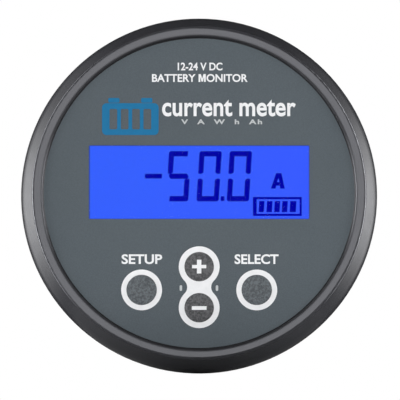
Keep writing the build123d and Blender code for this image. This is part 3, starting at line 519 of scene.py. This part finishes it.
def lettering(name, text, centre, width, height, material, y_outer, slot, bold=0.0,
              spacing=1.0, rear=False, left_out=None):
    """Text in the built-in face, scaled to an overall width and height.
    left_out is the index of a letter to leave out; piece["gap"] then holds its x range."""
    half_depth = 0.02
    curve = bpy.data.curves.new(name, "FONT")
    curve.size = 1.0
    curve.extrude = half_depth
    curve.offset = bold
    curve.space_character = spacing
    curve.resolution_u = 5
    obj = link_object(name + "_tmp", curve)

    def mesh_of(letters):
        curve.body = letters
        bpy.context.view_layer.update()
        return evaluated_mesh(obj)

    mesh = mesh_of(text)
    gap = None
    if left_out is not None:
        gap = remove_letter(mesh, text, left_out, mesh_of)
    bpy.data.objects.remove(obj)
    bpy.data.curves.remove(curve)

    xs = [v.co.x for v in mesh.vertices]
    ys = [v.co.y for v in mesh.vertices]
    scale_x = width / (max(xs) - min(xs))
    scale_y = height / (max(ys) - min(ys))
    middle_x, middle_y = (max(xs) + min(xs)) / 2, (max(ys) + min(ys)) / 2
    for v in mesh.vertices:
        v.co.x = (v.co.x - middle_x) * scale_x + centre[0]
        v.co.y = (v.co.y - middle_y) * scale_y + centre[1]
        v.co.z = v.co.z / half_depth * PRINT_T / 2
    piece = placed_piece(name, mesh, 2e-4, material, y_outer, PRINT_T, "housing", rear)
    if gap:
        piece["gap"] = tuple((x - middle_x) * scale_x + centre[0] for x in gap)
    return piece


def turned(name, profile, centre, material):
    """Solid of revolution along Y through centre (x, z). profile is a list of (radius, y) in mm
    that starts and ends on the axis."""
    count = 72
    bm = bmesh.new()
    rings = []
    for radius, y in profile:
        if radius < 1e-6:
            points = [centre]
        else:
            points = [(centre[0] + radius * math.cos(2 * math.pi * i / count),
                       centre[1] + radius * math.sin(2 * math.pi * i / count))
                      for i in range(count)]
        rings.append([bm.verts.new((x * MM, y * MM, z * MM)) for x, z in points])
    for a, b in zip(rings, rings[1:]):
        for i in range(count):
            j = (i + 1) % count
            if len(a) == 1:
                bm.faces.new((a[0], b[i], b[j]))
            elif len(b) == 1:
                bm.faces.new((a[i], a[j], b[0]))
            else:
                bm.faces.new((a[i], a[j], b[j], b[i]))
    bmesh.ops.recalc_face_normals(bm, faces=bm.faces)
    mesh = bpy.data.meshes.new(name)
    bm.to_mesh(mesh)
    bm.free()
    for polygon in mesh.polygons:
        polygon.use_smooth = True
    mesh.materials.append(material)
    obj = link_object(name, mesh)
    return obj


def film_print(name, loops, material=INK_WHITE, thick=PRINT_T):
    artwork(name, loops, material, FILM_Y - thick, thick=thick)


def film_text(name, text, centre, width, height, bold, material=INK_WHITE, **options):
    return lettering(name, text, centre, width, height, material, FILM_Y - PRINT_T, "film",
                     bold=bold, **options)


# ------------------------------------------------------------------ front film: keys
DOME_PROFILE = [  # radius, height above the film
    (0.0, 0.20), (1.2, 0.20), (1.85, 0.198), (2.02, 0.185), (2.2, 0.14), (2.34, 0.07),
    (2.46, 0.022), (2.56, 0.006), (2.66, 0.003),
]
DOME_BACK_Y = FILM_Y + 0.14
SIGN_Y = FILM_Y - 0.215       # outer face of the signs on the centre keys
SURROUND_R = 3.60             # outer radius of the white line round every key


def key_centre(key):
    lo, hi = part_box(f"{key}_key_pad")
    return (lo[0] + hi[0]) / 2 / MM, (lo[2] + hi[2]) / 2 / MM


def key_dome(key, x, z):
    """Dome that rises from the film to the key's top, in place of the key's pad."""
    profile = [(radius, FILM_Y - height) for radius, height in DOME_PROFILE]
    profile += [(radius, DOME_BACK_Y) for radius in (DOME_PROFILE[-1][0], 1.4, 0.0)]
    grey = key in ("setup", "select")
    dome = turned(f"{key}_key_dome", profile, (x, z),
                  MATERIALS["key_film_grey" if grey else "key_film"])
    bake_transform(dome)
    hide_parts(f"{key}_key_pad")


KEYS = {key: key_centre(key) for key in ("setup", "plus", "minus", "select")}
PLUS_Z, MINUS_Z = KEYS["plus"][1], KEYS["minus"][1]
WAIST_Z = (PLUS_Z + MINUS_Z) / 2
for key, (x, z) in KEYS.items():
    key_dome(key, x, z)
for key in ("setup", "select"):
    film_print(f"{key}_key_ring", [circle(*KEYS[key], SURROUND_R), circle(*KEYS[key], 2.68)])


def centre_surround():
    """Shared outline of the two centre keys: two circles joined by a waist with hollow sides."""
    waist_half, hole_r = 2.12, 2.60
    half = PLUS_Z - WAIST_Z
    # Each hollow is a circle at +-hollow_x that touches the waist and both outer circles:
    # hollow_x - hollow_r = waist_half and hollow_x^2 + half^2 = (SURROUND_R + hollow_r)^2.
    hollow_x = (half * half - (SURROUND_R - waist_half) ** 2) / (2 * (SURROUND_R - waist_half))
    hollow_r = hollow_x - waist_half
    slope = math.degrees(math.atan2(half, hollow_x))
    outline = circle(0.0, PLUS_Z, SURROUND_R, 72, -slope, 180.0 + slope)
    outline += circle(-hollow_x, WAIST_Z, hollow_r, 20, slope, -slope)[1:-1]
    outline += circle(0.0, MINUS_Z, SURROUND_R, 72, 180.0 - slope, 360.0 + slope)
    outline += circle(hollow_x, WAIST_Z, hollow_r, 20, 180.0 + slope, 180.0 - slope)[1:-1]
    film_print("centre_keys_surround",
               [outline, circle(0.0, PLUS_Z, hole_r), circle(0.0, MINUS_Z, hole_r)])


def key_signs():
    post, bar = 0.39, 0.30         # half thickness of the plus sign's upright and crossbar
    reach_x, reach_z = 1.25, 1.22  # half length of the crossbar and upright
    plus = [(-post, bar), (-post, reach_z), (post, reach_z), (post, bar),
            (reach_x, bar), (reach_x, -bar), (post, -bar), (post, -reach_z),
            (-post, -reach_z), (-post, -bar), (-reach_x, -bar), (-reach_x, bar)]
    minus = rounded(0.0, MINUS_Z - 0.06, width=2.6, height=0.66, radius=0.05)
    artwork("plus_sign", [[(x, z + PLUS_Z) for x, z in plus]], INK_WHITE, SIGN_Y,
            body="plus_key")
    artwork("minus_sign", [minus], INK_WHITE, SIGN_Y, body="minus_key")


centre_surround()
key_signs()
# Faint ticks either side of the waist
for x, name in ((-3.22, "left"), (3.14, "right")):
    tick = rounded(x, WAIST_Z - 0.15, width=0.44, height=1.0, radius=0.2)
    film_print(f"waist_tick_{name}", [tick], INK_SOFT, thick=0.012)


# ------------------------------------------------------------------ front film: legends
def title_m(left, right, centre_z):
    """The M of MONITOR, drawn on its own so that its narrow counters stay open."""
    width, height, stem = right - left, 1.40, 0.31
    shoulder, notch = 0.40, 0.50    # top width of each stem, drop of its inner corner
    valley_z, foot_z, foot = 0.60, 0.06, 0.12
    points = [(0, 0), (0, height), (shoulder, height), (width / 2, valley_z),
              (width - shoulder, height), (width, height), (width, 0), (width - stem, 0),
              (width - stem, height - notch), (width / 2 + foot, foot_z),
              (width / 2 - foot, foot_z), (stem, height - notch), (stem, 0)]
    film_print("legend_battery_monitor_m",
               [[(left + x, centre_z - height / 2 + z) for x, z in points]])


def battery_pictogram():
    """Teal case with two posts on top and four upright slots."""
    x, z = -12.15, 13.09
    case = rounded(x, z, width=10.0, height=5.66, radius=0.8)
    gaps = [rounded(x + dx, z, width=1.35, height=3.6, radius=0.25)[::-1]
            for dx in (-3.0, -1.0, 1.0, 3.0)]
    film_print("battery_pictogram_case", [case] + gaps, INK_TEAL)
    for dx, name in ((-2.9, "left"), (2.9, "right")):
        post = rounded(x + dx, z + 3.33, width=2.0, height=0.86, radius=0.25)
        film_print(f"battery_pictogram_post_{name}", [post], INK_TEAL)


KEY_LEGEND_Z, TITLE_Z = -11.70, 20.38
film_text("legend_setup", "SETUP", (-10.10, KEY_LEGEND_Z), width=7.15, height=1.74, bold=0.026)
film_text("legend_select", "SELECT", (10.12, KEY_LEGEND_Z), width=7.75, height=1.74, bold=0.026)
film_text("legend_supply", "12-24 V DC", (0.16, 22.42), width=7.9, height=1.40, bold=0.024)
title = film_text("legend_battery_monitor", "BATTERY MONITOR", (0.12, TITLE_Z), width=16.9,
                  height=1.42, bold=0.024, left_out=8)
title_m(*title["gap"], TITLE_Z)
film_text("legend_current_meter", "current meter", (5.25, 15.06), width=23.6, height=2.98,
          bold=0.022, spacing=1.02)
film_text("legend_units", "V  A  W  h  Ah", (3.97, 12.62), width=14.3, height=0.88,
          bold=0.034, material=INK_SOFT, spacing=1.3)
battery_pictogram()

# ------------------------------------------------------------------ display segments
SLANT = 0.0625            # sideways lean per unit of height
DIGIT_FOOT_Z = -1.27
DIGIT_W, DIGIT_H, BAR = 3.93, 8.90, 0.93


def sheared(points, x0, z0):
    return [(x0 + x + z * SLANT, z0 + z) for x, z in points]


def segment(name, *loops):
    artwork(name, loops, SEGMENT, LCD_Y - PRINT_T)


def digit_outlines():
    """Outlines of a seven-segment digit, from its lower left corner. The legs own the outer
    corners and the bars sit between them."""
    w, h, t = DIGIT_W, DIGIT_H, BAR
    mid, leg = h / 2, t - 0.02
    upper_left = [(0.0, h - 0.28), (0.28, h), (0.54, h), (0.60, h - t), (leg, h - t),
                  (leg, mid + 0.66), (0.48, mid + 0.40), (0.0, mid + 0.50)]
    lower_left = [(0.0, mid - 0.50), (0.48, mid - 0.40), (leg, mid - 0.66), (leg, t),
                  (0.60, t), (0.54, 0.0), (0.28, 0.0), (0.0, 0.28)]
    return {
        "a": [(0.55, h), (w - 0.55, h), (w - 0.61, h - t), (0.61, h - t)],
        "b": [(w - x, z) for x, z in upper_left][::-1],
        "c": [(w - x, z) for x, z in lower_left][::-1],
        "d": [(0.61, t), (w - 0.61, t), (w - 0.55, 0.0), (0.55, 0.0)],
        "e": lower_left,
        "f": upper_left,
        "g": [(0.18, mid + 0.10), (0.45, mid + t / 2), (w - 0.55, mid + t / 2),
              (w - 0.18, mid - 0.10), (w - 0.45, mid - t / 2), (0.55, mid - t / 2)],
    }


def reading():
    """Minus sign, three digits and the point."""
    segment("digit_minus", sheared([(0.0, 0.0), (0.0, 0.82), (3.0, 0.82), (3.0, 0.0)],
                                   x0=-9.60, z0=2.78))
    outlines = digit_outlines()
    for place, x0, lit in (("tens", -5.86, "afgcd"), ("ones", -0.48, "abcdef"),
                           ("tenths", 4.86, "abcdef")):
        for which in lit:
            segment(f"digit_{place}_{which}", sheared(outlines[which], x0, DIGIT_FOOT_Z))
    segment("digit_point", rounded(4.14, -0.80, width=0.66, height=0.84, radius=0.1))


def unit_letter():
    """The A to the right of the digits."""
    x0, z0 = 13.90, 1.0
    half, height, foot = 2.45 / 2, 2.72, 0.82
    outer = [(-half, 0), (-half + foot, 0), (-0.34, 0.52), (0.34, 0.52), (half - foot, 0),
             (half, 0), (0.46, height), (-0.46, height)]
    hole = [(-0.22, 1.14), (0.0, 1.86), (0.22, 1.14)]
    segment("unit_ampere", sheared(outer, x0, z0), sheared(hole, x0, z0))


def battery_bar():
    """Framed row of five slanted bars at the lower right."""
    outer = [(9.50, -0.50), (18.12, -0.50), (18.12, -3.86), (9.50, -3.86)]
    inner = [(10.16, -0.90), (17.74, -0.90), (17.74, -3.48), (10.16, -3.48)]
    segment("battery_bar_case", outer, inner[::-1])
    top, bottom = -1.22, -3.18
    lean_top, lean_bottom = 0.04, 0.08
    # left and right of each bar
    bars = ((10.58, 11.50), (11.96, 12.92), (13.32, 14.28), (14.66, 15.62), (16.06, 17.14))
    for i, (left, right) in enumerate(bars, start=1):
        segment(f"battery_bar_{i}", [(left + lean_top, top), (right + lean_top, top),
                                     (right - lean_bottom, bottom), (left - lean_bottom, bottom)])


reading()
unit_letter()
battery_bar()

# ------------------------------------------------------------------ rear
# x is counted to the right as seen from behind.
for name, text, centre, width, bold in (
        ("relay", "NC   COM   NO", (0.0, 9.1), 9.2, 0.0),
        ("data", "DATA", (0.0, -9.6), 3.8, 0.01),
        ("link", "LINK", (-12.9, -7.6), 3.4, 0.01)):
    lettering(f"rear_legend_{name}", text, centre, width, 1.0, INK_REAR, REAR_Y + PRINT_T,
              "housing_plastic", bold=bold, rear=True)
artwork("rear_label", [rounded(15.0, -1.0, width=9.1, height=14.5, radius=0.7)], LABEL,
        REAR_Y - 0.19, thick=0.06, rear=True)


# ------------------------------------------------------------------ floor, metres
def floor_material():
    """Pale floor that turns pure white far out and is clear from below. Other rays than the
    camera's meet a small dim disc, and nothing beyond it, so light reaches the sides."""
    white = (1, 1, 1)
    material, g = new_material("floor_pale")
    geometry = g.add("NewGeometry")
    distance = g.vector_math("LENGTH", geometry.outputs["Position"])
    near = g.add("AddShader", g.add("BsdfDiffuse", Color=(0.80, 0.80, 0.80)),
                 g.add("Emission", Color=white, Strength=0.40))
    seen = g.mix_shader(g.remap(distance, 0.10, 0.42), near,
                        g.add("Emission", Color=white, Strength=1.0))
    nothing = g.add("BsdfTransparent")
    one_way = g.mix_shader(geometry.outputs["Backfacing"], seen, nothing)
    dim = g.add("BsdfDiffuse", Color=(0.32, 0.32, 0.32))
    unseen = g.mix_shader(g.remap(distance, 0.046, 0.056), dim, nothing)
    camera_ray = g.add("LightPath").outputs["Is Camera Ray"]
    g.add("OutputMaterial", Surface=g.mix_shader(camera_ray, unseen, one_way))
    return material


def build_floor():
    z = cad_lo[2] - 0.00003
    count = 48
    bm = bmesh.new()
    previous = [bm.verts.new((0, 0, z))]
    for radius in (0.05, 0.1, 0.2, 0.4, 0.8, 1.6, 3.0):
        ring = [bm.verts.new((radius * math.cos(2 * math.pi * i / count),
                              radius * math.sin(2 * math.pi * i / count), z))
                for i in range(count)]
        for i in range(count):
            j = (i + 1) % count
            if len(previous) == 1:
                bm.faces.new((previous[0], ring[i], ring[j]))
            else:
                bm.faces.new((previous[i], ring[i], ring[j], previous[j]))
        previous = ring
    mesh = bpy.data.meshes.new("floor")
    bm.to_mesh(mesh)
    bm.free()
    floor = link_object("floor", mesh)
    mesh.materials.append(floor_material())


# ------------------------------------------------------------------ light
def build_world():
    """Soft studio panels painted on the world by direction; the camera itself sees white."""
    world = bpy.data.worlds.new("studio")
    scene.world = world
    g = NodeTree(world)
    split = g.add("SeparateXYZ", g.add("TexCoord").outputs["Generated"])
    x, y, z = (split.outputs[axis] for axis in "XYZ")
    height = g.math("ABSOLUTE", z)
    off_side = g.math("ABSOLUTE", g.math("ADD", y, 0.14))   # distance from the side strips' plane

    def panel(strength, *ramps):
        """Strength times ramps of (value, from, to), each 0 at from and 1 at to."""
        light = strength
        for value, start, end in ramps:
            light = g.math("MULTIPLY", g.remap(value, start, end), light)
        return light

    strip_core = (off_side, 0.28, 0.12), (height, 0.40, 0.18)
    strip_ends = (off_side, 0.22, 0.08), (height, 0.66, 0.54)
    behind = (y, 0.30, 0.50), (z, 0.68, 0.05), (z, -0.48, 0.0)
    high_behind = (y, 0.50, 0.66), (z, 0.34, 0.48), (z, 0.74, 0.62)
    upper_side = (off_side, 0.24, 0.10), (z, 0.36, 0.48), (z, 0.84, 0.72)
    panels = [
        panel(2.5, (y, -0.78, -0.93)),                  # front
        panel(8.0, (x, 0.70, 0.84), *strip_core),       # right strip, bright core
        panel(5.0, (x, 0.62, 0.74), *strip_ends),       # right strip, soft ends
        panel(2.25, (x, 0.46, 0.74), *behind),          # right, behind
        panel(7.6, (x, -0.70, -0.84), *strip_core),     # left strip, bright core
        panel(6.0, (x, -0.62, -0.74), *strip_ends),     # left strip, soft ends
        panel(2.25, (x, -0.46, -0.74), *behind),        # left, behind
        panel(4.0, (x, -0.42, -0.56), *upper_side),     # upper left
        panel(0.20, (x, -0.30, -0.48), *high_behind),   # fill behind, upper left
        panel(0.11, (x, 0.30, 0.48), *high_behind),     # fill behind, upper right
        panel(0.12, (z, 0.80, 0.94)),                   # overhead
    ]
    total = 0.006                                       # faint light from everywhere
    for light in panels:
        total = g.math("ADD", light, total)
    soft = g.add("Background", Color=(1, 1, 1), Strength=total)
    unshaded = g.add("Background", Color=(1, 1, 1), Strength=1.0)
    camera_ray = g.add("LightPath").outputs["Is Camera Ray"]
    g.add("OutputWorld", Surface=g.mix_shader(camera_ray, soft, unshaded))


# ------------------------------------------------------------------ camera
def build_camera():
    """Long lens in front of the meter, slightly below it and looking up."""
    azimuth, elevation = math.radians(-0.10), math.radians(-4.8)
    distance = 2.0
    frame_width = 0.07079646       # width seen at that distance
    # The camera is moved sideways and down, so the meter sits left of and above the middle.
    shift_right, shift_up = 0.15929204 * MM, -0.67256637 * MM

    data = bpy.data.cameras.new("camera")
    camera = link_object("camera", data)
    scene.camera = camera
    data.sensor_fit = "HORIZONTAL"
    data.sensor_width = 36.0
    data.lens = data.sensor_width * distance / frame_width
    data.clip_start, data.clip_end = 0.01, 20.0

    back = Vector((math.sin(azimuth) * math.cos(elevation),
                   -math.cos(azimuth) * math.cos(elevation), math.sin(elevation)))
    turn = (-back).to_track_quat("-Z", "Y")
    right, up = turn @ Vector((1, 0, 0)), turn @ Vector((0, 1, 0))
    aim = right * shift_right + up * shift_up
    camera.location = back * distance + aim
    camera.rotation_mode = "QUATERNION"
    camera.rotation_quaternion = turn


build_floor()
build_world()
build_camera()
